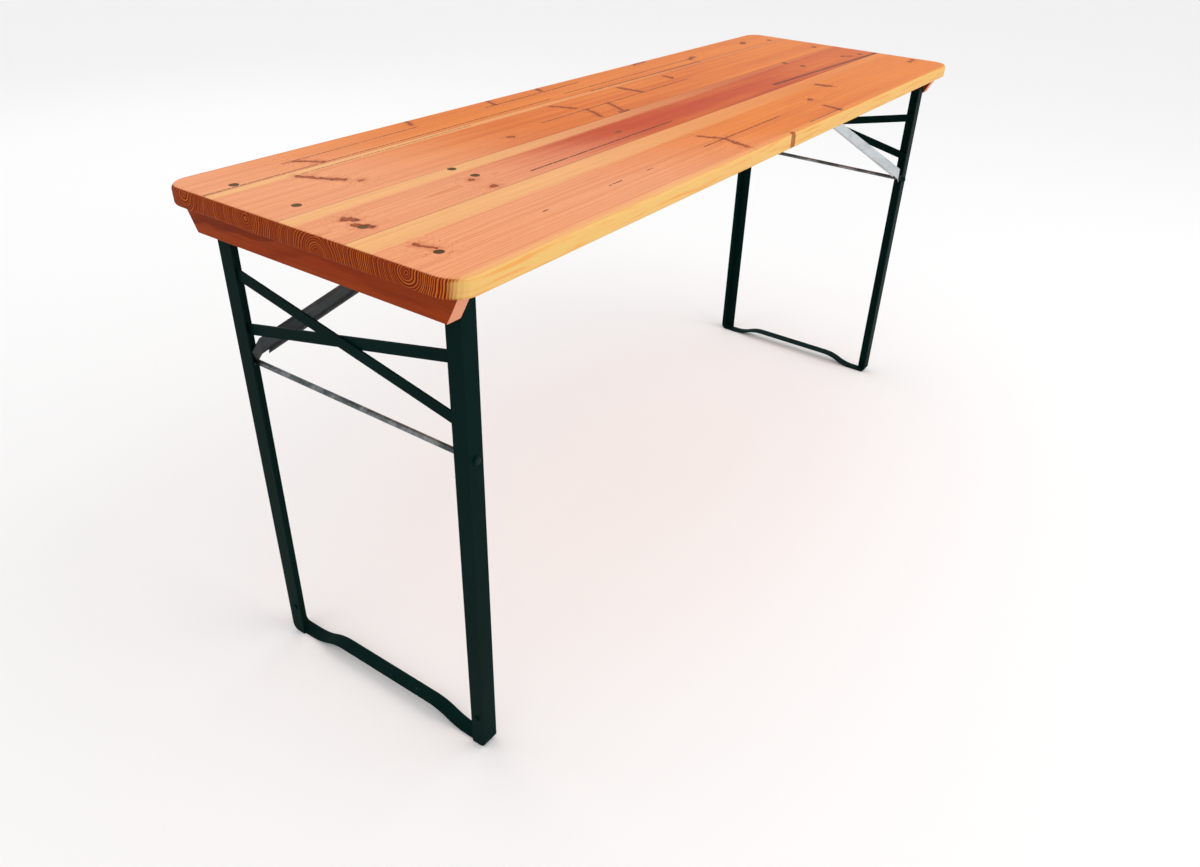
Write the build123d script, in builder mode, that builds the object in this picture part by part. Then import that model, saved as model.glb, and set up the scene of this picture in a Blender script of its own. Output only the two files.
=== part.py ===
from build123d import *
import math
import os

# Folding beer-garden table. Millimetres, +Z up, origin on the ground under the middle of the
# top, +X along the table. Each piece of the two folding ends is made once at the near end (-X)
# and set again, turned half a turn about Z, at the far end (+X).

os.makedirs("parts", exist_ok=True)

# ---- driving dimensions -------------------------------------------------------------------

table_length = 1600.0
table_height = 770.0            # ground to the flat of the top
board_widths = (87.0, 134.0, 112.0, 167.0)  # glued boards, from +Y to -Y
board_thickness = 25.0
corner_radius = 35.0            # corners of the top, seen from above
top_edge_radius = 6.0
bottom_edge_radius = 4.0

batten_setback = 18.0           # end of the top to the outer face of the batten
batten_thickness = 22.0
batten_height = 38.0
batten_end_inset = 15.0         # side of the top to the upper end of the batten
batten_end_slope = 20.0         # how much further in its lower end is
batten_edge_radius = 2.0
batten_screw_count = 4
batten_screw_from_end = 35.0

angle_flange = 25.0             # legs, equal angle
angle_thickness = 3.0
leg_inset = 36.0                # side of the top to the outside of the leg
frame_corner_radius = 12.0
foot_length = 40.0              # part of each foot that stands on the ground
foot_rise = 17.5                # how far the middle of the foot bar is bowed up
foot_rise_run = 80.0            # length over which the bar rises
batten_to_leg = 1.5             # outer face of the leg to the batten, its stop

hinge_gap = 5.5                 # underside of the top to the rounded end of the leg
hinge_bolt_diameter = 8.0
hinge_head_diameter = 14.0
hinge_head_height = 5.0
hinge_head_round = 3.0

rail_thickness = 3.0            # hinge rail, bent down at both ends
rail_side_gap = 1.0             # rail ear to the leg's side flange
rail_ear_gap = 1.0              # rail ear to the inside of the leg's outer flange
rail_bolt_from_ear = 35.0
rail_inner_bolt_spacing = 114.0

brace_width = 16.0              # crossed flats
brace_thickness = 3.0
brace_upper_drop = 92.0         # underside of the top to the upper end of a flat, at the leg
brace_lower_drop = 183.0

rod_diameter = 8.0              # cross rod that the strut hooks on
rod_below_hinge = 215.0
rod_head_diameter = 11.0
rod_head_height = 4.0
rod_head_round = 2.5

strut_thickness = 2.0           # pressed channel
strut_foot_width = 16.5
strut_head_width = 13.0
strut_rim_depth = 6.5
strut_side_gap = 6.0            # hooked end to the inside of the leg
strut_tab_length = 22.0         # flat ends, square to the pins
hook_radius = 8.5
hook_clearance = 0.4            # open joint between hook and rod

bracket_from_hinge = 230.0      # along the table
bracket_pin_drop = 14.0         # underside of the top to the strut's pivot pin
bracket_bolt_spacing = 42.0
bracket_length = 24.0
bracket_width = 60.0
bracket_corner_radius = 6.0
bracket_thickness = 2.0
bracket_ear_radius = 8.0
strut_head_inset = 1.0          # edge of the ear to the edge of the strut
bracket_tab_gap = 1.0           # strut tab to each ear
pin_diameter = 5.0
pin_head_diameter = 8.0
pin_head_height = 1.5

bolt_diameter = 6.0             # countersunk bolts through the top
bolt_head_diameter = 13.0
bolt_head_sink = 0.3            # face of the top down to the head
bolt_tail = 2.0                 # thread showing past the nut
screw_diameter = 5.0
screw_head_diameter = 9.5
screw_bite = 17.0               # how far a screw reaches into the boards
rivet_diameter = 9.0
rivet_height = 2.4
rivet_round = 1.44
rivet_from_edge = 15.0
rivet_height_above_ground = 55.0

running_clearance = 0.05        # radial, pins and bolts in their holes
nut_flats_8 = 13.0
nut_height_8 = 6.5
nut_flats_6 = 10.0
nut_height_6 = 5.0

# ---- sizes that follow ----------------------------------------------------------------------

table_width = sum(board_widths)
frame_width = table_width - 2 * leg_inset
underside = table_height - board_thickness
hinge_z = underside - hinge_gap - angle_flange / 2
batten_inner_x = -table_length / 2 + batten_setback + batten_thickness
batten_top_length = table_width - 2 * batten_end_inset
batten_bottom_length = batten_top_length - 2 * batten_end_slope
batten_screw_spacing = (batten_bottom_length - 2 * batten_screw_from_end) / (batten_screw_count - 1)
screw_length = batten_height + screw_bite
leg_outer_x = batten_inner_x + batten_to_leg
hinge_x = leg_outer_x + angle_flange / 2
half_frame = frame_width / 2
side_inner_y = half_frame - angle_thickness
rod_z = hinge_z - rod_below_hinge
pivot_x = hinge_x + bracket_from_hinge
pivot_z = underside - bracket_pin_drop
rail_bottom = underside - rail_thickness
rail_width = angle_flange - angle_thickness
bracket_bottom = underside - bracket_thickness
rail_ear_y = side_inner_y - rail_side_gap
rail_ear_radius = angle_flange / 2 - angle_thickness - rail_ear_gap
rail_bolt_reaches = (rail_ear_y - rail_bolt_from_ear, rail_inner_bolt_spacing / 2)
strut_side_offset = side_inner_y - strut_side_gap

rail_bolt_points = [(hinge_x, side * reach) for reach in rail_bolt_reaches for side in (1, -1)]
bracket_bolt_points = [(pivot_x, side * bracket_bolt_spacing / 2) for side in (1, -1)]
top_bolt_points = [
    (turn * x, turn * y) for x, y in rail_bolt_points + bracket_bolt_points for turn in (1, -1)
]
batten_screw_points = [
    (batten_inner_x - batten_thickness / 2, (i - (batten_screw_count - 1) / 2) * batten_screw_spacing)
    for i in range(batten_screw_count)
]


def save(name, part):
    """Label one piece and write its STEP file."""
    part.label = name
    export_step(part, f"parts/{name}.step")


def save_both_ends(name, part):
    """Write a piece of the near end, and the same piece turned to the far end."""
    for end, turn in (("near", 0), ("far", 180)):
        with BuildPart() as placed:
            add(part, rotation=(0, 0, turn))
        save(f"{name}_{end}", placed.part)


# ---- glued boards of the top ----------------------------------------------------------------

def sunk_head(mode):
    """One countersunk head at each current location: the head itself, or the seat cut for it."""
    Cone(
        bolt_diameter / 2,
        bolt_head_diameter / 2,
        (bolt_head_diameter - bolt_diameter) / 2,
        align=(Align.CENTER, Align.CENTER, Align.MAX),
        mode=mode,
    )


def top_board(first_edge, last_edge):
    """One board: a slice of the rounded top between two glue lines, with its bolt holes."""
    with BuildPart() as board:
        with BuildSketch(Plane.XY.offset(underside)):
            RectangleRounded(table_length, table_width, corner_radius)
        extrude(amount=board_thickness)
        fillet(board.faces().sort_by(Axis.Z)[-1].edges(), radius=top_edge_radius)
        fillet(board.faces().sort_by(Axis.Z)[0].edges(), radius=bottom_edge_radius)
        with Locations((0, (first_edge + last_edge) / 2, underside + board_thickness / 2)):
            Box(table_length * 2, first_edge - last_edge, board_thickness * 2, mode=Mode.INTERSECT)
        with BuildSketch(Plane.XY.offset(underside)):
            with Locations(*top_bolt_points):
                Circle(bolt_diameter / 2 + running_clearance)
        extrude(amount=board_thickness, mode=Mode.SUBTRACT)
        with BuildSketch(Plane.XY.offset(table_height - bolt_head_sink)):
            with Locations(*top_bolt_points):
                Circle(bolt_head_diameter / 2)
        extrude(amount=bolt_head_sink, mode=Mode.SUBTRACT)
        with Locations(*[(x, y, table_height - bolt_head_sink) for x, y in top_bolt_points]):
            sunk_head(Mode.SUBTRACT)
        with BuildSketch(Plane.XY.offset(underside)):
            with Locations(*batten_screw_points, *[(-x, -y) for x, y in batten_screw_points]):
                Circle(screw_diameter / 2)
        extrude(amount=screw_length - batten_height, mode=Mode.SUBTRACT)
    return board.part


board_edge = table_width / 2
for number, width in enumerate(board_widths, start=1):
    save(f"top_board_{number}", top_board(board_edge, board_edge - width))
    board_edge -= width

# ---- end battens ------------------------------------------------------------------------------

with BuildPart() as end_batten:
    with BuildSketch(Plane.YZ.offset(batten_inner_x - batten_thickness)):
        with BuildLine():
            Polyline(
                (batten_top_length / 2, underside),
                (batten_bottom_length / 2, underside - batten_height),
                (-batten_bottom_length / 2, underside - batten_height),
                (-batten_top_length / 2, underside),
                close=True,
            )
        make_face()
    extrude(amount=batten_thickness)
    fillet(end_batten.faces().sort_by(Axis.Z)[0].edges(), radius=batten_edge_radius)
    with BuildSketch(Plane.XY.offset(underside - batten_height)):
        with Locations(*batten_screw_points):
            Circle(screw_diameter / 2)
    extrude(amount=batten_height, mode=Mode.SUBTRACT)
    with BuildSketch(Plane.XY.offset(underside - batten_height)):
        with Locations(*batten_screw_points):
            Circle(screw_head_diameter / 2)
    extrude(
        amount=(screw_head_diameter - screw_diameter) / 2,
        taper=45,
        mode=Mode.SUBTRACT,
    )
save_both_ends("end_batten", end_batten.part)

with BuildPart() as batten_screws:
    with BuildSketch(Plane.XY.offset(underside - batten_height)):
        with Locations(*batten_screw_points):
            Circle(screw_diameter / 2)
    extrude(amount=screw_length)
    with BuildSketch(Plane.XY.offset(underside - batten_height)):
        with Locations(*batten_screw_points):
            Circle(screw_head_diameter / 2)
    extrude(amount=(screw_head_diameter - screw_diameter) / 2, taper=45)
save_both_ends("batten_screws", batten_screws.part)

# ---- hinge rail under each end ------------------------------------------------------------------

with BuildPart() as hinge_rail:
    with BuildSketch(Plane.XY.offset(rail_bottom)):
        with Locations((hinge_x, 0)):
            Rectangle(rail_width, 2 * rail_ear_y)
        with Locations(*rail_bolt_points):
            Circle(bolt_diameter / 2 + running_clearance, mode=Mode.SUBTRACT)
    extrude(amount=rail_thickness)
    for side in (1, -1):
        with BuildSketch(Plane.XZ.offset(-side * (rail_ear_y - rail_thickness / 2))):
            with Locations((hinge_x, hinge_z)):
                Circle(rail_ear_radius)
            with Locations((hinge_x, (hinge_z + rail_bottom) / 2)):
                Rectangle(2 * rail_ear_radius, rail_bottom - hinge_z)
            with Locations((hinge_x, hinge_z)):
                Circle(hinge_bolt_diameter / 2 + running_clearance, mode=Mode.SUBTRACT)
        extrude(amount=rail_thickness / 2, both=True)
save_both_ends("hinge_rail", hinge_rail.part)


# ---- fasteners ------------------------------------------------------------------------------------

def sunk_bolts(points, grip_bottom, nut_height):
    """Countersunk bolts through the top: head just below its face, shank, thread past the nut."""
    with BuildPart() as bolts:
        with BuildSketch(Plane.XY.offset(grip_bottom - nut_height - bolt_tail)):
            with Locations(*points):
                Circle(bolt_diameter / 2)
        extrude(amount=table_height - bolt_head_sink - grip_bottom + nut_height + bolt_tail)
        with Locations(*[(x, y, table_height - bolt_head_sink) for x, y in points]):
            sunk_head(Mode.ADD)
    return bolts.part


def top_nuts(points, grip_bottom, flats, height):
    """Hexagon nuts under the rail or bracket, bored to the bolt."""
    with BuildPart() as nuts:
        with BuildSketch(Plane.XY.offset(grip_bottom - height)):
            with Locations(*points):
                RegularPolygon(flats / 2, 6, major_radius=False)
                Circle(bolt_diameter / 2 + running_clearance, mode=Mode.SUBTRACT)
        extrude(amount=height)
    return nuts.part


save_both_ends("rail_bolts", sunk_bolts(rail_bolt_points, rail_bottom, nut_height_6))
save_both_ends("rail_nuts", top_nuts(rail_bolt_points, rail_bottom, nut_flats_6, nut_height_6))
save_both_ends("bracket_bolts", sunk_bolts(bracket_bolt_points, bracket_bottom, nut_height_6))
save_both_ends(
    "bracket_nuts", top_nuts(bracket_bolt_points, bracket_bottom, nut_flats_6, nut_height_6)
)

# ---- strut bracket under the centreline ----------------------------------------------------------

ear_inner_y = strut_thickness / 2 + bracket_tab_gap
with BuildPart() as strut_bracket:
    with BuildSketch(Plane.XY.offset(bracket_bottom)):
        with Locations((pivot_x, 0)):
            RectangleRounded(bracket_length, bracket_width, bracket_corner_radius)
        with Locations(*bracket_bolt_points):
            Circle(bolt_diameter / 2 + running_clearance, mode=Mode.SUBTRACT)
    extrude(amount=bracket_thickness)
    for side in (1, -1):
        with BuildSketch(Plane.XZ.offset(-side * (ear_inner_y + bracket_thickness / 2))):
            with Locations((pivot_x, pivot_z)):
                Circle(bracket_ear_radius)
            with Locations((pivot_x, (pivot_z + bracket_bottom) / 2)):
                Rectangle(2 * bracket_ear_radius, bracket_bottom - pivot_z)
            with Locations((pivot_x, pivot_z)):
                Circle(pin_diameter / 2 + running_clearance, mode=Mode.SUBTRACT)
        extrude(amount=bracket_thickness / 2, both=True)
save_both_ends("strut_bracket", strut_bracket.part)

pin_half = ear_inner_y + bracket_thickness
with BuildPart() as strut_pin:
    with BuildSketch(Plane.XZ):
        with Locations((pivot_x, pivot_z)):
            Circle(pin_diameter / 2)
    extrude(amount=pin_half, both=True)
    for side in (1, -1):
        with BuildSketch(Plane.XZ.offset(-side * (pin_half + pin_head_height / 2))):
            with Locations((pivot_x, pivot_z)):
                Circle(pin_head_diameter / 2)
        extrude(amount=pin_head_height / 2, both=True)
save_both_ends("strut_pin", strut_pin.part)


# ---- leg frame: one angle, its outer flange cut away where it goes round the feet ----------------

rise_half_run = foot_rise_run / 2
rise_radius = (foot_rise_run**2 + foot_rise**2) / (4 * foot_rise)
foot_end_y = half_frame - foot_length
plateau_y = foot_end_y - foot_rise_run
blank_top = table_height + 2 * angle_flange


def frame_outline():
    """Outer outline of the frame in its own plane: two legs, two feet and the bowed foot bar."""
    middle_y = foot_end_y - rise_half_run
    middle_z = foot_rise / 2
    with BuildLine() as outline:
        for side in (1, -1):
            Line((side * half_frame, blank_top), (side * half_frame, frame_corner_radius))
            RadiusArc(
                (side * half_frame, frame_corner_radius),
                (side * (half_frame - frame_corner_radius), 0),
                side * frame_corner_radius,
            )
            Line((side * (half_frame - frame_corner_radius), 0), (side * foot_end_y, 0))
            RadiusArc((side * foot_end_y, 0), (side * middle_y, middle_z), side * rise_radius)
            RadiusArc(
                (side * middle_y, middle_z), (side * plateau_y, foot_rise), -side * rise_radius
            )
        Line((plateau_y, foot_rise), (-plateau_y, foot_rise))
        Line((-half_frame, blank_top), (half_frame, blank_top))
    return outline.line


flange_inner_y = half_frame - angle_flange
with BuildPart() as leg_frame:
    with BuildSketch(Plane.YZ.offset(leg_outer_x)):
        add(frame_outline())
        make_face()
        offset(amount=-angle_thickness, kind=Kind.INTERSECTION, mode=Mode.SUBTRACT)
    extrude(amount=angle_flange)
    with Locations((leg_outer_x + angle_thickness / 2, 0, 0)):
        Box(angle_thickness, 2 * flange_inner_y, 4 * angle_flange, mode=Mode.SUBTRACT)
    with BuildSketch(Plane.YZ.offset(leg_outer_x)):
        add(frame_outline())
        make_face()
        Rectangle(2 * flange_inner_y, 2 * blank_top, mode=Mode.SUBTRACT)
    extrude(amount=angle_thickness)
    with Locations((hinge_x, 0, hinge_z + table_height / 2)):
        Box(4 * angle_flange, 2 * frame_width, table_height, mode=Mode.SUBTRACT)
    for side in (1, -1):
        with BuildSketch(Plane.XZ.offset(-side * (half_frame - angle_thickness / 2))):
            with Locations((hinge_x, hinge_z)):
                Circle(angle_flange / 2)
        extrude(amount=angle_thickness / 2, both=True)
    with BuildSketch(Plane.XZ):
        with Locations((hinge_x, hinge_z)):
            Circle(hinge_bolt_diameter / 2 + running_clearance)
        with Locations((hinge_x, rod_z)):
            Circle(rod_diameter / 2 + running_clearance)
    extrude(amount=frame_width, both=True, mode=Mode.SUBTRACT)
save_both_ends("leg_frame", leg_frame.part)

# ---- crossed flats in the frame ------------------------------------------------------------------

brace_rise = brace_lower_drop - brace_upper_drop
brace_slope = math.degrees(math.atan2(brace_rise, 2 * side_inner_y))
brace_middle_z = underside - (brace_upper_drop + brace_lower_drop) / 2
for name, side, layer in (("cross_brace_front", 1, 0), ("cross_brace_rear", -1, 1)):
    brace_x = leg_outer_x + angle_thickness + layer * brace_thickness
    with BuildPart() as cross_brace:
        with BuildSketch(Plane.YZ.offset(brace_x)):
            with Locations((0, brace_middle_z)):
                Rectangle(2 * frame_width, brace_width, rotation=side * brace_slope)
            with Locations((0, brace_middle_z)):
                Rectangle(2 * side_inner_y, table_height, mode=Mode.INTERSECT)
        extrude(amount=brace_thickness)
    save_both_ends(name, cross_brace.part)


# ---- bolts, rod and rivets of the frame -----------------------------------------------------------

def hex_nut_on_y(inner_y, side, z, flats, height, bore):
    """One hexagon nut on the Y axis through (hinge_x, z), starting at inner_y and going inward."""
    with BuildPart() as nut:
        with BuildSketch(Plane.XZ.offset(-side * (inner_y - height / 2))):
            with Locations((hinge_x, z)):
                RegularPolygon(flats / 2, 6, major_radius=False)
                Circle(bore / 2 + running_clearance, mode=Mode.SUBTRACT)
        extrude(amount=height / 2, both=True)
    return nut.part


nut_seat_y = rail_ear_y - rail_thickness
bolt_inner_y = nut_seat_y - nut_height_8 - bolt_tail
with BuildPart() as hinge_bolts:
    for side in (1, -1):
        with BuildSketch(Plane.XZ.offset(-side * (half_frame + bolt_inner_y) / 2)):
            with Locations((hinge_x, hinge_z)):
                Circle(hinge_bolt_diameter / 2)
        extrude(amount=(half_frame - bolt_inner_y) / 2, both=True)
        with BuildSketch(Plane.XZ.offset(-side * (half_frame + hinge_head_height / 2))):
            with Locations((hinge_x, hinge_z)):
                Circle(hinge_head_diameter / 2)
        extrude(amount=hinge_head_height / 2, both=True)
    fillet(
        hinge_bolts.faces().filter_by(Axis.Y).sort_by(Axis.Y)[-1].edges()
        + hinge_bolts.faces().filter_by(Axis.Y).sort_by(Axis.Y)[0].edges(),
        radius=hinge_head_round,
    )
save_both_ends("hinge_bolts", hinge_bolts.part)

with BuildPart() as hinge_nuts:
    for side in (1, -1):
        add(hex_nut_on_y(nut_seat_y, side, hinge_z, nut_flats_8, nut_height_8, hinge_bolt_diameter))
save_both_ends("hinge_nuts", hinge_nuts.part)

with BuildPart() as cross_rod:
    with BuildSketch(Plane.XZ):
        with Locations((hinge_x, rod_z)):
            Circle(rod_diameter / 2)
    extrude(amount=half_frame, both=True)
    for side in (1, -1):
        with BuildSketch(Plane.XZ.offset(-side * (half_frame + rod_head_height / 2))):
            with Locations((hinge_x, rod_z)):
                Circle(rod_head_diameter / 2)
        extrude(amount=rod_head_height / 2, both=True)
    fillet(
        cross_rod.faces().filter_by(Axis.Y).sort_by(Axis.Y)[-1].edges()
        + cross_rod.faces().filter_by(Axis.Y).sort_by(Axis.Y)[0].edges(),
        radius=rod_head_round,
    )
save_both_ends("cross_rod", cross_rod.part)

with BuildPart() as foot_rivets:
    for side in (1, -1):
        with BuildSketch(Plane.YZ.offset(leg_outer_x)):
            with Locations((side * (half_frame - rivet_from_edge), rivet_height_above_ground)):
                Circle(rivet_diameter / 2)
        extrude(amount=-rivet_height)
    fillet(foot_rivets.faces().group_by(Axis.X)[0].edges(), radius=rivet_round)
save_both_ends("foot_rivets", foot_rivets.part)

# ---- strut: pressed channel from the bracket to the rod --------------------------------------------

fall_x = hinge_x - pivot_x
fall_z = rod_z - pivot_z
fall = math.hypot(fall_x, fall_z)
tab_run = strut_tab_length * abs(fall_x) / fall
head_bend_x = pivot_x - tab_run
foot_bend_x = hinge_x + tab_run
turn_angle = math.atan2(strut_side_offset, head_bend_x - foot_bend_x)
mitre = math.tan(turn_angle / 2)
head_half = strut_head_width / 2
foot_half = strut_foot_width / 2
head_radius = bracket_ear_radius - strut_head_inset
tall = 4 * (pivot_z - rod_z)
side_plane = Plane(origin=(pivot_x, 0, pivot_z), x_dir=(fall_x, 0, fall_z), z_dir=(0, -1, 0))

# The hook's slot follows the way the rod leaves it: rod and strut end swing by this ratio.
strut_swing = math.pi - math.atan2(-fall_z, -fall_x)
leave_x = rod_below_hinge * math.pi / 2 + strut_swing * fall_z
leave_z = -strut_swing * fall_x
leave_angle = math.degrees(
    math.atan2(fall_x * leave_z - fall_z * leave_x, fall_x * leave_x + fall_z * leave_z)
)


def strut_side(inset):
    """Side view of the strut: a taper from the pivot to the hooked end, drawn inset all round."""
    with BuildSketch(side_plane) as side_view:
        with BuildLine():
            Polyline(
                (0, head_radius - inset),
                (strut_tab_length, head_half - inset),
                (fall - 2 * strut_tab_length, foot_half - inset),
                (fall, hook_radius - inset),
                (fall, inset - hook_radius),
                (fall - 2 * strut_tab_length, inset - foot_half),
                (strut_tab_length, inset - head_half),
                (0, inset - head_radius),
                close=True,
            )
        make_face()
        Circle(head_radius - inset)
        with Locations((fall, 0)):
            Circle(hook_radius - inset)
    return side_view.sketch


def strut_face(shift):
    """One face of the folded sheet seen from above, shifted to the side the rims stand on."""
    return [
        (pivot_x + 2 * head_radius, -shift),
        (head_bend_x - shift * mitre, -shift),
        (foot_bend_x - shift * mitre, strut_side_offset - shift),
        (hinge_x - 2 * hook_radius, strut_side_offset - shift),
    ]


with BuildPart() as strut_rims:
    with BuildSketch(Plane.XY.offset(rod_z - tall / 2)):
        with Locations(((head_bend_x + foot_bend_x) / 2, strut_side_offset / 2)):
            with Locations(Rotation(0, 0, -math.degrees(turn_angle))):
                Rectangle(
                    math.hypot(head_bend_x - foot_bend_x, strut_side_offset) - strut_tab_length,
                    strut_rim_depth,
                    align=(Align.CENTER, Align.MAX),
                )
    extrude(amount=tall)
    extrude(to_extrude=strut_side(0), amount=table_width, both=True, mode=Mode.INTERSECT)
    extrude(
        to_extrude=strut_side(strut_thickness), amount=table_width, both=True, mode=Mode.SUBTRACT
    )

with BuildPart() as strut:
    with BuildSketch(Plane.XY.offset(rod_z - tall / 2)):
        with BuildLine():
            Polyline(
                *strut_face(-strut_thickness / 2), *reversed(strut_face(strut_thickness / 2)),
                close=True,
            )
        make_face()
    extrude(amount=tall)
    extrude(to_extrude=strut_side(0), amount=table_width, both=True, mode=Mode.INTERSECT)
    add(strut_rims.part)
    with BuildSketch(side_plane) as openings:
        Circle(pin_diameter / 2 + running_clearance)
        with Locations((fall, 0)):
            Circle(rod_diameter / 2 + hook_clearance)
        with Locations(Location((fall, 0), leave_angle)):
            Rectangle(
                3 * hook_radius,
                rod_diameter + 2 * hook_clearance,
                align=(Align.MIN, Align.CENTER),
            )
    extrude(amount=table_width, both=True, mode=Mode.SUBTRACT)
save_both_ends("strut", strut.part)

print("hinge axis", hinge_x, hinge_z, "rod z", rod_z, "strut pivot", pivot_x, pivot_z)
print("strut swing", math.degrees(strut_swing), "ratio", math.degrees(strut_swing) / 90)
print("slot angle", leave_angle)
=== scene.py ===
"""Looks of a folding beer-garden table: lacquered softwood, dark green paint and bright zinc.

Everything is in metres in the table's own frame: x along the top, y across it, z up.
Patterns read Object coordinates, which are that frame, so grain runs through a board as through
a real one and the rings at its end belong to the lines on its face.
"""

import math

import bpy
import numpy as np
from mathutils import Matrix, Vector


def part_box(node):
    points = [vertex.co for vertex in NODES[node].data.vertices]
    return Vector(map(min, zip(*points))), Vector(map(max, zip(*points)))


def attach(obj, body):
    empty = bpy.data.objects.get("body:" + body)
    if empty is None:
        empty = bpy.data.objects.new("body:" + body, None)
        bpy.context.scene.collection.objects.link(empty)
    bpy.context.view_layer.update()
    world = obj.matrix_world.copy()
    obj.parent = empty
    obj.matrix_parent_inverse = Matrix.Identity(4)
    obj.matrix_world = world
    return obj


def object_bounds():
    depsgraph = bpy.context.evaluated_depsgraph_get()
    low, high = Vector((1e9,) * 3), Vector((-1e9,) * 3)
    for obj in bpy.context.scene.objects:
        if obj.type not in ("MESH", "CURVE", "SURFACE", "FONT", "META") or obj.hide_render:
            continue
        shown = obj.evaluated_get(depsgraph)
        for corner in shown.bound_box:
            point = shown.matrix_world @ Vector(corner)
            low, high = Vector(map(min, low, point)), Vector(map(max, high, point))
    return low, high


bl_info = {
    "name": "Folding Garden Table Looks",
    "version": (1, 0, 0),
    "blender": (4, 5, 0),
    "location": "3D View > Sidebar > Garden Table",
    "description": "Wood, paint and zinc finishes, weld beads and a plain studio for a folding table",
    "category": "Object",
}

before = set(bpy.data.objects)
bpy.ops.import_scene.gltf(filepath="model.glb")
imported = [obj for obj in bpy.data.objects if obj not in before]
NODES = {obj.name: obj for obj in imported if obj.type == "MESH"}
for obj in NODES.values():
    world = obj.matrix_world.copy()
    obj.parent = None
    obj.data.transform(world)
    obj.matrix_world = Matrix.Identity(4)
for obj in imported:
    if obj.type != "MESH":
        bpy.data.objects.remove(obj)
cad_box = [list(corner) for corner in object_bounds()]
ENDS = ("near", "far")


def both_ends(*stems):
    """Names of the CAD nodes of both ends of the table for these pieces."""
    return [f"{stem}_{end}" for stem in stems for end in ENDS]


# ---- sizes and colours a user would change ------------------------------------------------------

def colour(name, description, default):
    """A linear RGB colour property."""
    return bpy.props.FloatVectorProperty(
        name=name, description=description, default=default, subtype="COLOR", size=3, min=0, max=1
    )


def length(name, description, default):
    """A length property in metres."""
    return bpy.props.FloatProperty(
        name=name, description=description, default=default, min=0, unit="LENGTH", precision=4
    )


def share(name, description, default):
    """A property between nothing and all."""
    return bpy.props.FloatProperty(
        name=name, description=description, default=default, min=0, max=1, subtype="FACTOR"
    )


class TABLE_PG_wood(bpy.types.PropertyGroup):
    """Softwood of the top and the battens."""

    heartwood: colour("Heartwood", "Lacquered heartwood between the rings", (0.79, 0.232, 0.028))
    deep: colour("Deep heartwood", "Reddest heartwood", (0.50, 0.046, 0.002))
    sapwood: colour("Sapwood", "Pale strips at the boards' edges", (0.84, 0.46, 0.180))
    latewood: colour("Latewood", "Dark line of each ring", (0.50, 0.095, 0.014))
    # Painted sheen: a paler, pinker colour towards the near end that stands in for the lacquer's reflection
    # of the light.
    painted_sheen: colour("Bleached", "Paler, pinker wood towards the near end", (0.86, 0.42, 0.245))
    end_grain: colour("End grain", "Lacquer-soaked end grain", (0.27, 0.028, 0.004))
    end_ring: colour("End rings", "Dark rings in the end grain", (0.085, 0.006, 0.002))
    knot: colour("Knot", "Branch wood", (0.110, 0.014, 0.003))
    pitch: colour("Pitch", "Resin streaks and pith", (0.060, 0.010, 0.004))
    batten: colour("Batten", "Red-brown batten wood", (0.30, 0.046, 0.007))
    edge: colour("Edge", "Pale wood of the front long edge", (0.78, 0.50, 0.16))
    cut: colour("Fresh cut", "Ends of the battens", (0.80, 0.36, 0.22))
    ring_gap: length("Ring spacing", "Width of one year's growth", 0.0032)
    gloss: share("Lacquer", "How much clear lacquer lies on the wood", 0.035)


class TABLE_PG_metal(bpy.types.PropertyGroup):
    """Painted steel and zinc plate."""

    paint: colour("Paint", "Dark green paint of the leg frames", (0.0010, 0.0105, 0.0088))
    worn_paint: colour("Dusty paint", "Paint where dust and rubbing lighten it", (0.0018, 0.0165, 0.0140))
    head: colour("Bolt heads", "Coated heads in the top", (0.130, 0.072, 0.026))
    zinc: colour("Zinc", "Bright zinc plate", (0.62, 0.66, 0.68))
    # Painted shade: dark colour for the hollow side of the pressed struts, where shade falls inside the
    # channel.
    hollow_shade: colour("Grime", "Dull inside of the struts", (0.012, 0.018, 0.018))
    rod: colour("Rod", "Drawn steel of the cross rods", (0.050, 0.064, 0.064))
    dull_zinc: colour("Dull zinc", "Zinc clouded by handling", (0.40, 0.43, 0.44))
    yellow_zinc: colour("Yellow zinc", "Plate of the wood screws", (0.62, 0.52, 0.28))
    bead: length("Weld bead", "Radius of a weld bead", 0.0016)


class TABLE_PG_studio(bpy.types.PropertyGroup):
    """Floor, light and camera."""

    floor: colour("Floor", "Plain pale floor", (0.90, 0.90, 0.90))
    sky: bpy.props.FloatProperty(
        name="Sky", description="Strength of the even light from all round", default=0.98, min=0
    )
    key: bpy.props.FloatProperty(
        name="Key", description="Power of the large light", default=34.0, min=0, unit="POWER"
    )
    sheen: bpy.props.FloatProperty(
        name="Sheen", description="Power of the light mirrored in the lacquer", default=9.0, min=0,
        unit="POWER",
    )
    lens: bpy.props.FloatProperty(
        name="Lens", description="Focal length over a 36 mm sensor", default=28.12, min=1, unit="CAMERA"
    )


# ---- shader expressions ---------------------------------------------------------------------------

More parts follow.
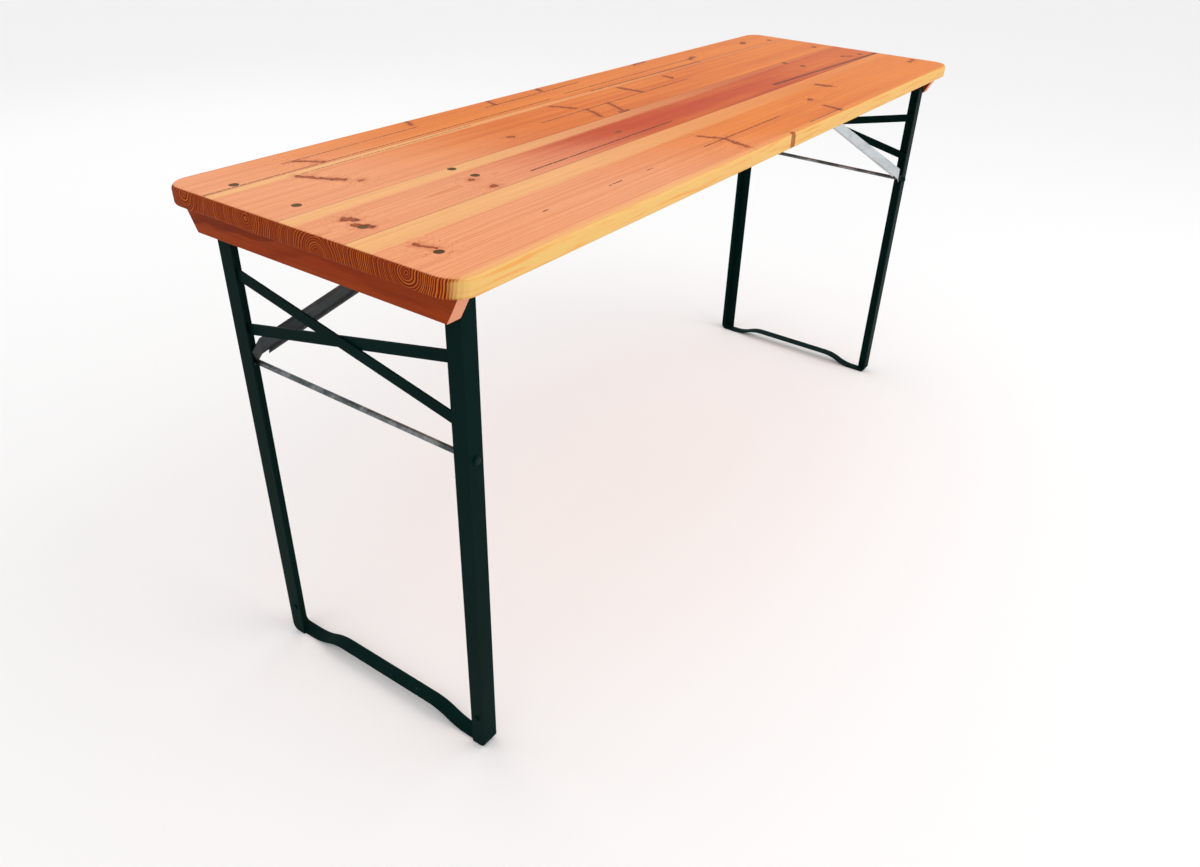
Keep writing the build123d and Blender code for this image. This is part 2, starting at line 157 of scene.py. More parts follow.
class Value:
    """One shader socket. Arithmetic on it adds Math nodes to its tree."""

    def __init__(self, shader, socket):
        self.shader = shader
        self.socket = socket

    def math(self, operation, *values, clamp=False):
        """A Math node on these values."""
        settings = {"operation": operation, "use_clamp": clamp}
        return self.shader.node("ShaderNodeMath", settings, dict(enumerate(values)))

    def __add__(self, other):
        return self.math("ADD", self, other)

    __radd__ = __add__

    def __sub__(self, other):
        return self.math("SUBTRACT", self, other)

    def __rsub__(self, other):
        return self.math("SUBTRACT", other, self)

    def __mul__(self, other):
        return self.math("MULTIPLY", self, other)

    __rmul__ = __mul__

    def __truediv__(self, other):
        return self.math("DIVIDE", self, other)

    def __abs__(self):
        return self.math("ABSOLUTE", self)

    def root(self):
        """Square root."""
        return self.math("SQRT", self)

    def part(self):
        """Fraction left after the whole number."""
        return self.math("FRACT", self)

    def whole(self):
        """Whole number below."""
        return self.math("FLOOR", self)

    def larger(self, other):
        """The larger of two values."""
        return self.math("MAXIMUM", self, other)

    def smaller(self, other):
        """The smaller of two values."""
        return self.math("MINIMUM", self, other)

    def ease(self, low, high):
        """0 below low, 1 above high, smooth between; low may be the higher, which turns it over."""
        flipped = low > high
        names = {"Value": self, "From Min": min(low, high), "From Max": max(low, high)}
        names.update({"To Min": 1.0 if flipped else 0.0, "To Max": 0.0 if flipped else 1.0})
        return self.shader.node("ShaderNodeMapRange", {"interpolation_type": "SMOOTHSTEP"}, names)


class Shader:
    """A material's node tree with its Principled shader."""

    def __init__(self, name):
        self.material = bpy.data.materials.new(name)
        self.material.use_nodes = True
        self.tree = self.material.node_tree
        self.surface = self.tree.nodes["Principled BSDF"]

    def node(self, kind, settings, sockets, output=0):
        """Add one node: its settings first, then the values or links of its sockets."""
        made = self.tree.nodes.new(kind)
        for key, setting in settings.items():
            setattr(made, key, setting)
        self.fill(made, sockets)
        return Value(self, made.outputs[output])

    def fill(self, made, sockets):
        """Set or link a node's sockets."""
        for key, value in sockets.items():
            if isinstance(value, Value):
                self.tree.links.new(value.socket, made.inputs[key])
            else:
                made.inputs[key].default_value = value

    def finish(self, **sockets):
        """Fill the Principled shader; underscores in names stand for spaces."""
        self.fill(self.surface, {key.replace("_", " "): value for key, value in sockets.items()})
        return self.material

    def place(self):
        """Object coordinates as x, y, z in metres."""
        point = self.node("ShaderNodeTexCoord", {}, {}, "Object")
        return [self.node("ShaderNodeSeparateXYZ", {}, {0: point}, i) for i in range(3)]

    def facing(self):
        """How squarely a face looks along x, y and z, each from 0 to 1."""
        normal = self.node("ShaderNodeTexCoord", {}, {}, "Normal")
        return [abs(self.node("ShaderNodeSeparateXYZ", {}, {0: normal}, i)) for i in range(3)]

    def point(self, x, y, z):
        """A vector from three values."""
        return self.node("ShaderNodeCombineXYZ", {}, {0: x, 1: y, 2: z})

    def noise(self, vector, scale=1.0, detail=3.0, roughness=0.5):
        """Fractal noise between 0 and 1."""
        sockets = {"Vector": vector, "Scale": scale, "Detail": detail, "Roughness": roughness}
        return self.node("ShaderNodeTexNoise", {}, sockets)

    def noise_along(self, value, seed, detail=2.0):
        """Fractal noise of one value."""
        settings = {"noise_dimensions": "1D"}
        return self.node("ShaderNodeTexNoise", settings, {"W": value + seed, "Scale": 1.0, "Detail": detail})

    def chance(self, value, seed):
        """A random number for each whole value."""
        return self.node("ShaderNodeTexWhiteNoise", {"noise_dimensions": "1D"}, {"W": value + seed})

    def ramp(self, value, stops):
        """A grey ramp through (position, brightness) stops."""
        made = self.tree.nodes.new("ShaderNodeValToRGB")
        for position, _ in stops[2:]:
            made.color_ramp.elements.new(position)
        for element, (position, level) in zip(made.color_ramp.elements, sorted(stops)):
            element.position = position
            element.color = (level, level, level, 1)
        self.fill(made, {0: value})
        return Value(self, made.outputs[0])

    def blend(self, factor, first, second):
        """From the first colour to the second."""
        first, second = (c if isinstance(c, Value) else (*c, 1) for c in (first, second))
        return self.node("ShaderNodeMix", {"data_type": "RGBA"}, {0: factor, 6: first, 7: second}, 2)

    def tint(self, factor, first, second):
        """The first colour multiplied by the second as far as the factor says."""
        settings = {"data_type": "RGBA", "blend_type": "MULTIPLY"}
        second = second if isinstance(second, Value) else (*second, 1)
        return self.node("ShaderNodeMix", settings, {0: factor, 6: first, 7: second}, 2)

    def relief(self, height, depth, strength=1.0):
        """A Bump normal: height from 0 to 1 over this depth in metres."""
        return self.node("ShaderNodeBump", {}, {"Strength": strength, "Distance": depth, "Height": height})


def paint(names, material):
    """Give CAD nodes a material in each of their slots."""
    for name in names:
        for slot in NODES[name].material_slots:
            slot.material = material


# ---- wood -------------------------------------------------------------------------------------------

GLUE_LINE = 0.0009  # half width of a glued seam's dark line
OUTER_EDGE = 0.02  # a board edge this near the side of the top is an edge, not a seam
UPPER_FACE = (0.7585, 0.7625)  # heights between which pith and pitch lines appear
FRONT_CORNER = (-0.165, -0.232)  # where the end grain grows paler towards the front
WOOD_RELIEF = 0.00022  # depth of rings and grain


def distance_to_mark(along, across, start, end):
    """Distance to a straight mark from start to end.

    The nearest point of the segment is start + t * (end - start), with t the point's share along
    it held between 0 and 1.
    """
    run, rise = end[0] - start[0], end[1] - start[1]
    square = run * run + rise * rise
    share_along = ((along - start[0]) * run + (across - start[1]) * rise) / square
    held = share_along.larger(0.0).smaller(1.0)
    off_along = along - (held * run + start[0])
    off_across = across - (held * rise + start[1])
    return (off_along * off_along + off_across * off_across).root()


def rings(shader, along, across, up, pith, slope, wander, gap, seed, swell=0.0):
    """Year rings round a wandering pith that runs along the wood.

    The distance from the pith line, which drifts by slope and by slow noise, is divided by the ring
    spacing. Its fraction gives light early wood, dark late wood and a sudden end, and its whole
    number gives each ring its own strength.
    """
    drift_across = (shader.noise_along(along * 1.7, seed) - 0.5) * wander
    drift_up = (shader.noise_along(along * 1.3, seed + 31.0) - 0.5) * wander
    off_across = across - along * slope - drift_across - pith[0]
    off_up = up - drift_up - pith[1]
    ripple = shader.noise(shader.point(along * 5.0, across * 26.0, up * 26.0 + seed), 1.0, 3.0) - 0.5
    distance = (off_across * off_across + off_up * off_up).root() + ripple * 0.006 + swell
    count = distance / gap + shader.noise_along(distance * 34.0, seed + 7.0) * 3.0
    late = shader.ramp(count.part(), [(0.0, 0.05), (1.0, 0.0), (0.45, 0.16), (0.80, 0.95), (0.93, 0.85)])
    strength = shader.chance(count.whole(), seed)
    return late, strength


def fibres(shader, along, across, up, seed):
    """Fine long streaks of the grain."""
    stretched = shader.point(along * 7.0 + seed, across * 420.0, up * 420.0)
    return shader.noise(stretched, 1.0, 4.0, 0.6)


# Marks in each board, in metres on the top: spike knots and knots as (start, end, half width),
# pith and pitch lines as (start, end, half width). Strips of sapwood are (edge, inner edge, drift).
BOARDS = {
    "top_board_1": dict(
        pith=(0.214, 0.766), slope=0.018, seed=11.0, deep=0.25,
        knots=[
            ((-0.632, 0.200), (-0.608, 0.173), 0.0048), ((-0.390, 0.222), (-0.380, 0.244), 0.0045),
            ((-0.200, 0.218), (-0.190, 0.244), 0.0055), ((-0.066, 0.226), (-0.055, 0.244), 0.0055),
            ((0.395, 0.187), (0.425, 0.196), 0.0070), ((0.650, 0.198), (0.672, 0.204), 0.0090),
            ((0.255, 0.238), (0.300, 0.243), 0.0060),
        ],
        lines=[
            ((-0.650, 0.202), (-0.392, 0.209), 0.0013), ((-0.225, 0.215), (0.040, 0.221), 0.0017),
            ((-0.795, 0.166), (-0.100, 0.176), 0.0014), ((-0.050, 0.184), (0.400, 0.189), 0.0017),
        ],
        sap=[],
    ),
    "top_board_2": dict(
        pith=(0.086, 0.762), slope=0.004, seed=23.0, deep=0.45,
        knots=[
            ((-0.671, 0.146), (-0.660, 0.120), 0.0075), ((-0.660, 0.122), (-0.641, 0.090), 0.0060),
            ((-0.143, 0.142), (-0.125, 0.106), 0.0075), ((-0.117, 0.084), (-0.138, 0.040), 0.0050),
            ((-0.052, 0.086), (-0.080, 0.034), 0.0050), ((-0.090, 0.033), (-0.072, 0.033), 0.0080),
            ((-0.340, 0.068), (-0.336, 0.066), 0.0070), ((-0.631, 0.074), (-0.628, 0.072), 0.0040),
            ((0.060, 0.140), (0.063, 0.092), 0.0080), ((0.210, 0.134), (0.206, 0.116), 0.0085),
        ],
        lines=[
            ((-0.240, 0.085), (0.225, 0.090), 0.0016), ((-0.660, 0.150), (-0.330, 0.156), 0.0011),
            ((0.000, 0.161), (0.395, 0.161), 0.0019),
        ],
        sap=[(0.163, 0.148, 0.0)],
    ),
    "top_board_3": dict(
        pith=(-0.040, 0.748), slope=-0.004, seed=37.0, deep=1.0,
        knots=[
            ((-0.742, -0.020), (-0.737, -0.031), 0.0085), ((-0.748, -0.045), (-0.740, -0.061), 0.0090),
            ((-0.535, -0.031), (-0.531, -0.029), 0.0070), ((-0.537, -0.070), (-0.532, -0.070), 0.0070),
            ((-0.205, -0.036), (-0.192, -0.036), 0.0050), ((0.690, -0.040), (0.706, -0.050), 0.0090),
        ],
        lines=[((-0.450, -0.064), (-0.080, -0.062), 0.0022), ((0.300, -0.060), (0.790, -0.078), 0.0050)],
        sap=[(0.029, 0.002, 0.022)],
    ),
    "top_board_4": dict(
        pith=(-0.181, 0.764), slope=0.001, seed=53.0, deep=0.22,
        knots=[
            ((-0.747, -0.140), (-0.741, -0.166), 0.0050), ((-0.131, -0.146), (-0.117, -0.178), 0.0060),
            ((-0.117, -0.182), (-0.133, -0.232), 0.0060), ((0.230, -0.168), (0.240, -0.167), 0.0065),
            ((0.366, -0.124), (0.372, -0.148), 0.0110), ((0.212, -0.206), (0.202, -0.240), 0.0080),
            ((0.765, -0.174), (0.778, -0.170), 0.0060), ((-0.014, -0.254), (-0.006, -0.247), 0.0075),
        ],
        lines=[
            ((-0.570, -0.180), (-0.560, -0.179), 0.0014), ((-0.432, -0.182), (-0.402, -0.181), 0.0016),
            ((-0.340, -0.182), (-0.326, -0.182), 0.0012), ((-0.178, -0.181), (0.080, -0.181), 0.0017),
            ((0.080, -0.238), (0.215, -0.238), 0.0016),
        ],
        sap=[(-0.083, -0.125, 0.014), (-0.262, -0.238, 0.0)],
    ),
}


def board_material(name, wood):
    """Lacquered softwood of one board: rings, fibres, sapwood strips, knots, pitch and end grain."""
    marks = BOARDS[name]
    shader = Shader(f"lacquered_softwood_{name}")
    x, y, z = shader.place()
    seed = marks["seed"]
    wobble = (shader.noise(shader.point(x * 60.0, y * 60.0, z * 60.0 + seed), 1.0, 2.0) - 0.5) * 0.006
    fray = (shader.noise(shader.point(x * 210.0, y * 210.0, z * 40.0), 1.0, 3.0) - 0.5) * 0.0045
    uneven = shader.noise(shader.point(x * 95.0, y * 95.0, seed + 7.0), 1.0, 3.0)
    uneven = uneven.ease(0.32, 0.68) * 0.85 + 0.70
    knots, cores, nearness = None, None, None
    for start, end, half_width in marks["knots"]:
        away = distance_to_mark(x + wobble + fray, y + wobble + fray, start, end) * uneven
        mask = away.ease(half_width * 0.80, half_width * 0.52)
        core = away.ease(half_width * 0.46, half_width * 0.24)
        cores = core if cores is None else cores.larger(core)
        knots = mask if knots is None else knots.larger(mask)
        nearness = away if nearness is None else nearness.smaller(away)
    lines = None
    for start, end, half_width in marks["lines"]:
        away = distance_to_mark(x, y + wobble * 0.25, start, end)
        mask = away.ease(half_width, half_width * 0.72)
        lines = mask if lines is None else lines.larger(mask)
    swell = nearness.ease(0.035, 0.0) * 0.011
    late, strength = rings(
        shader, x, y, z, marks["pith"], marks["slope"], 0.010, wood.ring_gap, seed, swell
    )
    grain = fibres(shader, x, y, z, seed)
    cloud = shader.noise(shader.point(x * 2.2, y * 17.0, z * 17.0 + seed), 1.0, 3.0)
    bands = shader.noise(shader.point(x * 0.7, y * 46.0, seed), 1.0, 2.0)

    sap = None
    for edge, inner, drift in marks["sap"]:
        side = 1.0 if edge > inner else -1.0
        moved = x.ease(0.05, 0.75) * drift * side
        mask = ((y - inner - moved) * side + wobble * 0.5 + (cloud - 0.5) * 0.012).ease(-0.003, 0.005)
        sap = mask if sap is None else sap.larger(mask)

    redness = ((cloud * 0.7 + bands * 0.6) * 1.9 - 0.95 + marks["deep"] * 0.55).ease(0.0, 1.1)
    ripe = x.ease(-0.64, -0.26) * 0.85 + 0.15 - x.ease(0.25, 0.65) * 0.35
    base = shader.blend(redness * ripe * (0.30 + 0.70 * marks["deep"]), wood.heartwood, wood.deep)
    # Painted sheen: past a slanted, wavy line towards the near end, the wood is blended paler and pinker in
    # place of a reflection in the lacquer.
    sheen_slant = x + y * 0.9 + (cloud - 0.5) * 0.25
    base = shader.blend(sheen_slant.ease(-0.15, -0.62) * 0.62, base, wood.painted_sheen)
    if sap is not None:
        sap = sap * (x.ease(0.45, -0.65) * 0.76 + 0.18)
        base = shader.blend(sap * (0.62 + cloud * 0.40), base, wood.sapwood)
    ring_depth = late * (strength * 0.50 + 0.10)
    if sap is not None:
        ring_depth = ring_depth * (1.0 - sap * 0.62)
    base = shader.blend(ring_depth, base, wood.latewood)
    base = shader.tint((grain.ease(0.60, 0.30)) * 0.30, base, (0.66, 0.50, 0.38))

    pores = fibres(shader, x, y, z, seed + 90.0).ease(0.70, 0.78)
    base = shader.blend(pores * 0.30, base, wood.knot)
    halo = nearness.ease(0.016, 0.003) * 0.42
    base = shader.blend(halo, base, wood.latewood)
    ringed = (nearness * 900.0 + wobble * 300.0).part().ease(0.2, 0.9) * 0.55
    core_wood = shader.blend(ringed, wood.latewood, wood.knot)
    branch = shader.blend(cores * 0.75, wood.knot, core_wood)
    above = z.ease(*UPPER_FACE)
    base = shader.blend(knots * 0.88, base, branch)
    broken = shader.noise_along(x * 260.0, seed, 1.0).ease(0.30, 0.46)
    base = shader.blend(lines * broken * 0.82 * above, base, wood.pitch)

    low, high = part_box(name)
    lowest, highest = cad_box[0][1], cad_box[1][1]
    glue = None
    for edge, outside in ((low[1], lowest), (high[1], highest)):
        if abs(edge - outside) < OUTER_EDGE:
            continue
        mask = abs(y - edge).ease(GLUE_LINE, 0.0002)
        glue = mask if glue is None else glue.larger(mask)
    base = shader.blend(glue * 0.55, base, wood.pitch)

    facing_x, facing_y, _ = shader.facing()
    end_face = facing_x.ease(0.30, 0.62)
    end_wood = shader.blend(late * (strength * 0.4 + 0.6), wood.end_grain, wood.end_ring)
    front = y.ease(*FRONT_CORNER)
    pale_rings = late.ease(0.22, 0.06) * (strength * 0.45 + 0.12 + front * 0.40)
    end_wood = shader.blend(pale_rings, end_wood, wood.heartwood)
    speckle = shader.noise(shader.point(x * 900.0, y * 900.0, z * 900.0), 1.0, 2.0)
    end_wood = shader.tint(speckle.ease(0.35, 0.65) * 0.4, end_wood, (0.55, 0.42, 0.36))
    base = shader.blend(end_face, base, end_wood)
    if name == "top_board_4":
        side_face = facing_y.ease(0.42, 0.82) * (0.72 + cloud * 0.25)
        side_face = side_face * (1.0 - knots * 0.8)
        streaks = shader.noise(shader.point(x * 9.0, z * 160.0, seed), 1.0, 3.0).ease(0.50, 0.66)
        pale_edge = shader.blend(late * strength * 0.30, wood.edge, wood.sapwood)
        pale_edge = shader.blend(streaks * 0.50, pale_edge, wood.heartwood)
        base = shader.blend(side_face, base, pale_edge)

    rough = 0.34 + grain * 0.10 + late * 0.06 + end_face * 0.18 + knots * 0.05
    height = late * strength * 0.45 + grain * 0.35 - lines * 0.8 - knots * 0.25 - glue * 0.6
    return shader.finish(
        Base_Color=base, Roughness=rough, Coat_Weight=wood.gloss, Coat_Roughness=0.16,
        Coat_IOR=1.5, Specular_IOR_Level=0.03, Normal=shader.relief(height, WOOD_RELIEF, 0.7),
    )


def batten_material(wood):
    """Red-brown batten: the grain runs across the table, so x and y change places."""
    shader = Shader("batten_softwood")
    x, y, z = shader.place()
    late, strength = rings(shader, y, x, z, (0.0, 0.80), 0.0, 0.030, wood.ring_gap, 71.0)
    grain = fibres(shader, y, x, z, 5.0)
    cloud = shader.noise(shader.point(y * 4.0, x * 30.0, z * 30.0), 1.0, 3.0)
    base = shader.blend(cloud.ease(0.35, 0.7) * 0.6, wood.batten, wood.end_grain)
    base = shader.blend(late * (strength * 0.5 + 0.15), base, wood.end_ring)
    base = shader.tint(grain.ease(0.6, 0.3) * 0.4, base, (0.6, 0.45, 0.36))
    _, facing_y, _ = shader.facing()
    cut = facing_y.ease(0.5, 0.85)
    fresh = shader.blend(late * 0.4, wood.cut, wood.latewood)
    base = shader.blend(cut, base, fresh)
    rough = 0.42 + grain * 0.12 + cut * 0.15
    return shader.finish(
        Base_Color=base, Roughness=rough, Coat_Weight=wood.gloss * 0.7, Coat_Roughness=0.22,
        Specular_IOR_Level=0.03, Normal=shader.relief(late * 0.5 + grain * 0.5, WOOD_RELIEF, 0.6),
    )


# ---- metal ------------------------------------------------------------------------------------------

def paint_material(name, metal, fresh, seed):
    """Stoved paint on steel: fine orange peel, clouds of dust, small rubbed specks."""
    shader = Shader(name)
    x, y, z = shader.place()
    peel = shader.noise(shader.point(x, y, z + seed), 620.0, 2.0)
    dust = shader.noise(shader.point(x * 9.0, y * 9.0, z * 3.5 + seed), 1.0, 4.0, 0.6)
    specks = shader.noise(shader.point(x + seed, y, z), 170.0, 3.0, 0.7).ease(0.70, 0.76)
    scuffs = shader.noise(shader.point(x * 90.0, y * 90.0, z * 900.0 + seed), 1.0, 2.0).ease(0.68, 0.78)
    low = z.ease(0.10, 0.0)
    base = shader.blend(dust.ease(0.40, 0.72) * 0.55 + low * 0.18, fresh, metal.worn_paint)
    base = shader.blend((specks * 0.35 + scuffs * 0.10) * (low * 0.6 + 0.08), base, metal.dull_zinc)
    rough = 0.34 + dust * 0.18 + low * 0.12
    return shader.finish(
        Base_Color=base, Roughness=rough, Coat_Weight=0.006, Coat_Roughness=0.20,
        Specular_IOR_Level=0.015, Normal=shader.relief(peel, 0.00005, 0.5),
    )


def zinc_material(name, metal, bright, stretch, seed, channel=False, painted_beyond=None):
    """Zinc plate: crystal clouds, drawing lines stretched along x, y or z, dull handling marks.

    A pressed channel is painted dark on the side its rims stand on, as painted shade of its hollow,
    which is the side where the x and y directions of a face together have the sign of its own x.
    A rod is painted beyond a given distance across the table, which covers its heads.
    """
    shader = Shader(name)
    x, y, z = shader.place()
    warp = shader.noise(shader.point(x, y, z), 90.0, 2.0)
    sockets = {"Vector": shader.point(x + warp * 0.004, y, z), "Scale": 230.0}
    crystal = shader.node("ShaderNodeTexVoronoi", {"feature": "F1"}, sockets, "Color")
    tone = shader.node("ShaderNodeSeparateColor", {}, {0: crystal}, 0)
    lines = shader.noise(shader.point(x * stretch[0], y * stretch[1], z * stretch[2] + seed), 1.0, 3.0)
    cloud = shader.noise(shader.point(x, y, z + seed), 22.0, 4.0, 0.6)
    dull = (cloud.ease(0.42, 0.68) * 0.55 + tone * 0.16).smaller(1.0)
    base = shader.blend(dull, bright, metal.dull_zinc)
    rough = 0.26 + cloud * 0.16 + lines * 0.10
    plated = 1.0
    if channel:
        normal = shader.node("ShaderNodeTexCoord", {}, {}, "Normal")
        sideways = [shader.node("ShaderNodeSeparateXYZ", {}, {0: normal}, i) for i in (0, 1)]
        outward = (sideways[0] + sideways[1]) * x.math("SIGN", x)
        # Painted shade: the hollow side of a channel is blended towards a dark colour and made rougher and
        # less metallic.
        hollow_shade_mask = outward.ease(0.15, 0.45) * (0.80 + cloud * 0.2)
        base = shader.blend(hollow_shade_mask, base, metal.hollow_shade)
        rough = rough + hollow_shade_mask * 0.25
        plated = 1.0 - hollow_shade_mask * 0.94
    if painted_beyond:
        head = abs(y).ease(painted_beyond - 0.0004, painted_beyond)
        base = shader.blend(head, base, metal.worn_paint)
        plated = 1.0 - head
    return shader.finish(
        Base_Color=base, Metallic=plated, Roughness=rough, Specular_IOR_Level=0.05,
        Normal=shader.relief(lines * 0.6 + tone * 0.4, 0.00004, 0.5),
    )


# ---- new pieces ---------------------------------------------------------------------------------------

def mesh_piece(name, points, faces, material, body):
    """A mesh object from arrays, riding on a body and finished in a material slot."""
    mesh = bpy.data.meshes.new(name)
    mesh.from_pydata(points, [], faces)
    mesh.update()
    mesh.shade_smooth()
    mesh.materials.append(material)
    piece = bpy.data.objects.new(name, mesh)
    bpy.context.collection.objects.link(piece)
    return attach(piece, body)


def bead_surface(start, end, radius, seed, around=10, steps=48):
    """A weld bead between two points, as arrays of points, quads and the two end polygons.

    Rings of points stand round the line from start to end. The radius swells and sinks with a sine
    for the ripples of the weld and falls to a tenth at both ends by the root of one minus the
    fourth power of the place along it. Each end ring is closed by one flat polygon.
    """
    start, end = np.array(start, float), np.array(end, float)
    along = (end - start) / np.linalg.norm(end - start)
    side = np.cross(along, (0.0, 0.0, 1.0) if abs(along[2]) < 0.9 else (1.0, 0.0, 0.0))
    side /= np.linalg.norm(side)
    other = np.cross(along, side)
    place = np.linspace(-1.0, 1.0, steps)
    turn = np.arange(around) * 2 * np.pi / around
    ripple = 1.0 + 0.10 * np.sin(place * 26.0 + seed) + 0.05 * np.sin(place * 61.0 + 2 * seed)
    swell = radius * ripple * np.maximum(np.sqrt(1.0 - place**4), 0.10)
    centre = (start + end) / 2 + place[:, None] * (end - start) / 2
    round_ = np.cos(turn)[:, None] * side + np.sin(turn)[:, None] * other
    points = (centre[:, None, :] + swell[:, None, None] * round_[None, :, :]).reshape(-1, 3)
    ring, spoke = np.meshgrid(np.arange(steps - 1), np.arange(around), indexing="ij")
    first = ring * around + spoke
    second = ring * around + (spoke + 1) % around
    quads = np.stack([first, second, second + around, first + around], -1).reshape(-1, 4)
    caps = np.stack([np.arange(around)[::-1], np.arange(around) + (steps - 1) * around])
    return points, quads, caps


def weld_beads(end, metal):
    """Beads where the two crossed flats meet the legs, above and below each end of each flat."""
    points, quads, caps = [], [], []
    for number, name in enumerate((f"cross_brace_front_{end}", f"cross_brace_rear_{end}")):
        mesh = NODES[name].data
        place = np.empty(len(mesh.vertices) * 3)
        mesh.vertices.foreach_get("co", place)
        place = place.reshape(-1, 3)
        low, high = place.min(0), place.max(0)
        for side in (-1.0, 1.0):
            tip = place[np.abs(place[:, 1] - (high[1] if side > 0 else low[1])) < 1e-4]
            y = tip[0, 1] - side * metal.bead * 0.3
            for x in (tip[:, 0].min(), tip[:, 0].max()):
                inward = metal.bead * 0.25 * (1 if x < (low[0] + high[0]) / 2 else -1)
                bead = bead_surface(
                    (x + inward, y, tip[:, 2].min() + metal.bead),
                    (x + inward, y, tip[:, 2].max() - metal.bead),
                    metal.bead, 1.7 * number + side + x,
                )
                offset = len(points) * len(bead[0])
                points.append(bead[0])
                quads.append(bead[1] + offset)
                caps.append(bead[2] + offset)
    return np.concatenate(points), [*np.concatenate(quads).tolist(), *np.concatenate(caps).tolist()]


# ---- operators ------------------------------------------------------------------------------------------

class TABLE_OT_top(bpy.types.Operator):
    """Finish the glued boards of the top"""

    bl_idname = "garden_table.top"
    bl_label = "Top Boards"

    def execute(self, context):
        for name in BOARDS:
            paint([name], board_material(name, context.scene.table_wood))
        return {"FINISHED"}


class TABLE_OT_battens(bpy.types.Operator):
    """Finish the battens under the two ends"""

    bl_idname = "garden_table.battens"
    bl_label = "End Battens"

    def execute(self, context):
        paint(both_ends("end_batten"), batten_material(context.scene.table_wood))
        return {"FINISHED"}


class TABLE_OT_frames(bpy.types.Operator):
    """Paint the leg frames, crossed flats, hinge rails and their bolts"""

    bl_idname = "garden_table.frames"
    bl_label = "Leg Frames"

    def execute(self, context):
        metal = context.scene.table_metal
        green = paint_material("green_paint", metal, metal.paint, 3.0)
        steel = both_ends("leg_frame", "cross_brace_front", "cross_brace_rear", "hinge_rail")
        paint(steel + both_ends("hinge_bolts", "foot_rivets"), green)
        return {"FINISHED"}


class TABLE_OT_welds(bpy.types.Operator):
    """Lay the weld beads of the crossed flats"""

    bl_idname = "garden_table.welds"
    bl_label = "Weld Beads"

    def execute(self, context):
        metal = context.scene.table_metal
        green = bpy.data.materials["green_paint"]
        for end in ENDS:
            points, faces = weld_beads(end, metal)
            mesh_piece(f"weld_beads_{end}", points, faces, green, f"{end}_legs")
        return {"FINISHED"}


class TABLE_OT_hardware(bpy.types.Operator):
    """Finish the struts, brackets, rods, bolts, nuts and screws"""

    bl_idname = "garden_table.hardware"
    bl_label = "Struts and Fasteners"

    def execute(self, context):
        metal = context.scene.table_metal
        sheet = zinc_material("zinc_sheet", metal, metal.zinc, (60.0, 700.0, 60.0), 1.0, channel=True)
        leg_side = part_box("leg_frame_near")[1][1]
        rod = zinc_material(
            "zinc_rod", metal, metal.rod, (900.0, 12.0, 900.0), 2.0, painted_beyond=leg_side
        )
        nuts = zinc_material("zinc_nuts", metal, metal.zinc, (300.0, 300.0, 300.0), 4.0)
        screws = zinc_material("zinc_screws", metal, metal.yellow_zinc, (400.0, 400.0, 400.0), 6.0)
        heads = paint_material("painted_bolt_heads", metal, metal.head, 9.0)
        paint(both_ends("strut", "strut_bracket"), sheet)
        paint(both_ends("cross_rod"), rod)
        paint(both_ends("rail_nuts", "bracket_nuts", "hinge_nuts", "strut_pin"), nuts)
        paint(both_ends("batten_screws"), screws)
        paint(both_ends("rail_bolts", "bracket_bolts"), heads)
        return {"FINISHED"}


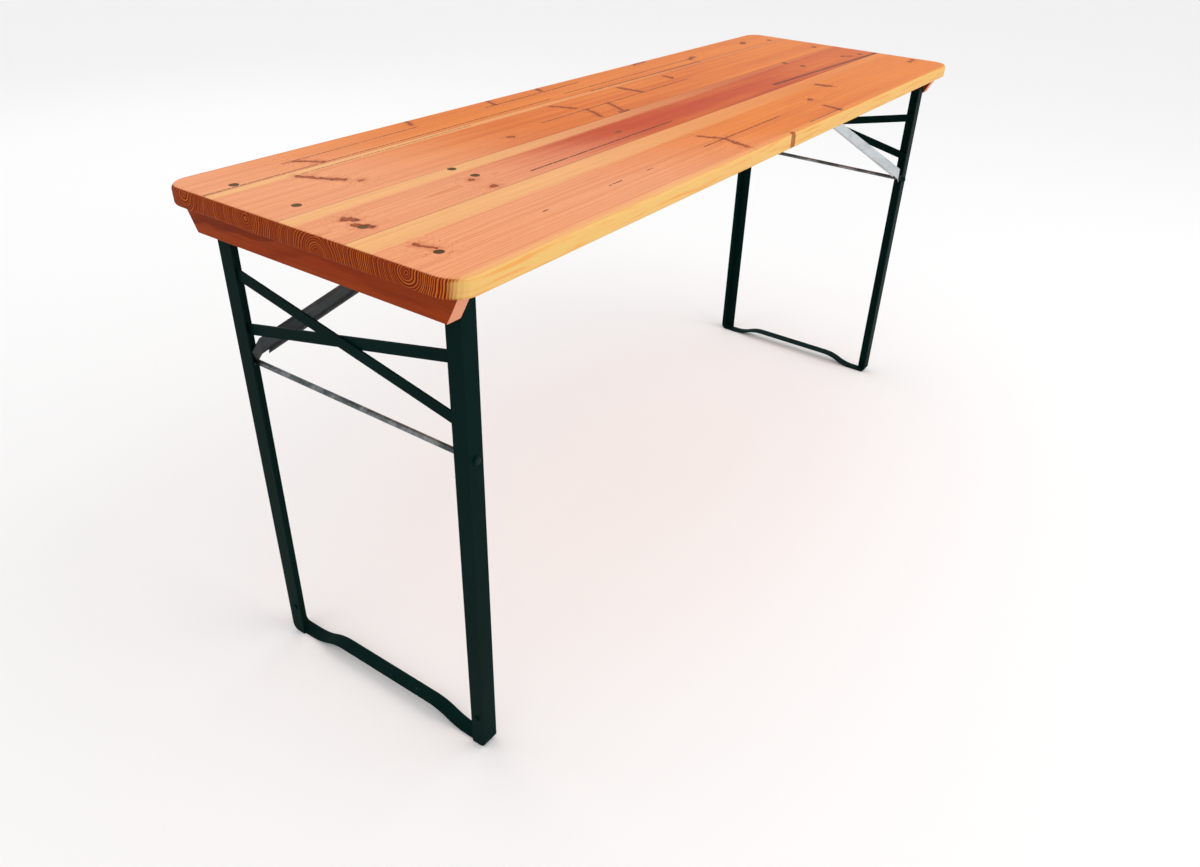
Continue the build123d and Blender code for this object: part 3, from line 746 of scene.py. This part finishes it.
class TABLE_OT_studio(bpy.types.Operator):
    """Lay the floor and set the lights and the camera"""

    bl_idname = "garden_table.studio"
    bl_label = "Studio"

    def execute(self, context):
        studio = context.scene.table_studio
        self.floor(studio)
        self.lights(context, studio)
        self.camera(context, studio)
        context.scene.view_settings.view_transform = "Standard"
        return {"FINISHED"}

    def floor(self, studio):
        """A level disc: radius times the cosine and sine of the turn."""
        radius, corners, below = 30.0, 96, 0.0005
        turn = np.arange(corners) * 2 * np.pi / corners
        level = np.full(corners, -below)
        points = np.stack([radius * np.cos(turn), radius * np.sin(turn), level], -1)
        shader = Shader("pale_floor")
        x, y, z = shader.place()
        mottle = shader.noise(shader.point(x, y, z), 3.0, 3.0)
        base = shader.blend(mottle * 0.05, studio.floor, (0.80, 0.80, 0.80))
        material = shader.finish(Base_Color=base, Roughness=0.9, Specular_IOR_Level=0.1)
        mesh = bpy.data.meshes.new("floor")
        mesh.from_pydata(points, [], [list(range(len(points)))])
        mesh.materials.append(material)
        floor = bpy.data.objects.new("floor", mesh)
        bpy.context.collection.objects.link(floor)

    def lights(self, context, studio):
        """Even sky, a large key on the -Y side and a sheen panel beyond the far corner."""
        world = bpy.data.worlds.new("studio")
        world.use_nodes = True
        sky = world.node_tree.nodes["Background"]
        sky.inputs["Color"].default_value = (1.0, 1.0, 1.0, 1.0)
        sky.inputs["Strength"].default_value = studio.sky
        context.scene.world = world
        target = Vector((0.0, 0.0, 0.7))
        for name, power, size, place in (
            ("key", studio.key, 2.6, (0.6, -2.6, 3.0)),
            ("sheen", studio.sheen, 2.2, (0.9, 3.3, 2.5)),
        ):
            light = bpy.data.lights.new(name, "AREA")
            light.energy = power
            light.size = size
            lamp = bpy.data.objects.new(name, light)
            lamp.location = place
            lamp.rotation_euler = (target - lamp.location).to_track_quat("-Z", "Y").to_euler()
            context.collection.objects.link(lamp)

    def camera(self, context, studio):
        """A camera beside the near end, looking down along the table, turned a little about its axis."""
        turn, dip, roll = 0.5629, 0.5564, 0.0517
        stand = (-1.44196, -0.87354, 1.15591)
        forward = Vector(
            (math.cos(dip) * math.cos(turn), math.cos(dip) * math.sin(turn), -math.sin(dip))
        )
        level = forward.cross(Vector((0.0, 0.0, 1.0))).normalized()
        upright = level.cross(forward)
        right = level * math.cos(roll) + upright * math.sin(roll)
        top = upright * math.cos(roll) - level * math.sin(roll)
        data = bpy.data.cameras.new("camera")
        data.sensor_width = 36.0
        data.lens = studio.lens
        data.shift_x, data.shift_y = -0.02637, -0.00522
        camera = bpy.data.objects.new("camera", data)
        turned = Matrix((right, top, -forward)).transposed().to_4x4()
        camera.matrix_world = Matrix.Translation(stand) @ turned
        context.collection.objects.link(camera)
        context.scene.camera = camera


class TABLE_PT_panel(bpy.types.Panel):
    """Sidebar panel with the table's finishes"""

    bl_label = "Garden Table"
    bl_idname = "TABLE_PT_panel"
    bl_space_type = "VIEW_3D"
    bl_region_type = "UI"
    bl_category = "Garden Table"

    def draw(self, context):
        scene = context.scene
        for group in (scene.table_wood, scene.table_metal, scene.table_studio):
            box = self.layout.box()
            for name in group.__annotations__:
                box.prop(group, name)
        for operator in OPERATORS:
            self.layout.operator(operator.bl_idname)


GROUPS = {"table_wood": TABLE_PG_wood, "table_metal": TABLE_PG_metal, "table_studio": TABLE_PG_studio}
OPERATORS = (
    TABLE_OT_top, TABLE_OT_battens, TABLE_OT_frames, TABLE_OT_welds, TABLE_OT_hardware,
    TABLE_OT_studio,
)


def register():
    """Register the property groups, operators and panel."""
    for name, group in GROUPS.items():
        bpy.utils.register_class(group)
        setattr(bpy.types.Scene, name, bpy.props.PointerProperty(type=group))
    for kind in (*OPERATORS, TABLE_PT_panel):
        bpy.utils.register_class(kind)


def unregister():
    """Take them out again."""
    for kind in reversed((*OPERATORS, TABLE_PT_panel)):
        bpy.utils.unregister_class(kind)
    for name, group in GROUPS.items():
        delattr(bpy.types.Scene, name)
        bpy.utils.unregister_class(group)


def main():
    """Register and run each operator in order."""
    register()
    for operator in OPERATORS:
        group, call = operator.bl_idname.split(".")
        getattr(getattr(bpy.ops, group), call)()


if __name__ == "__main__":
    main()
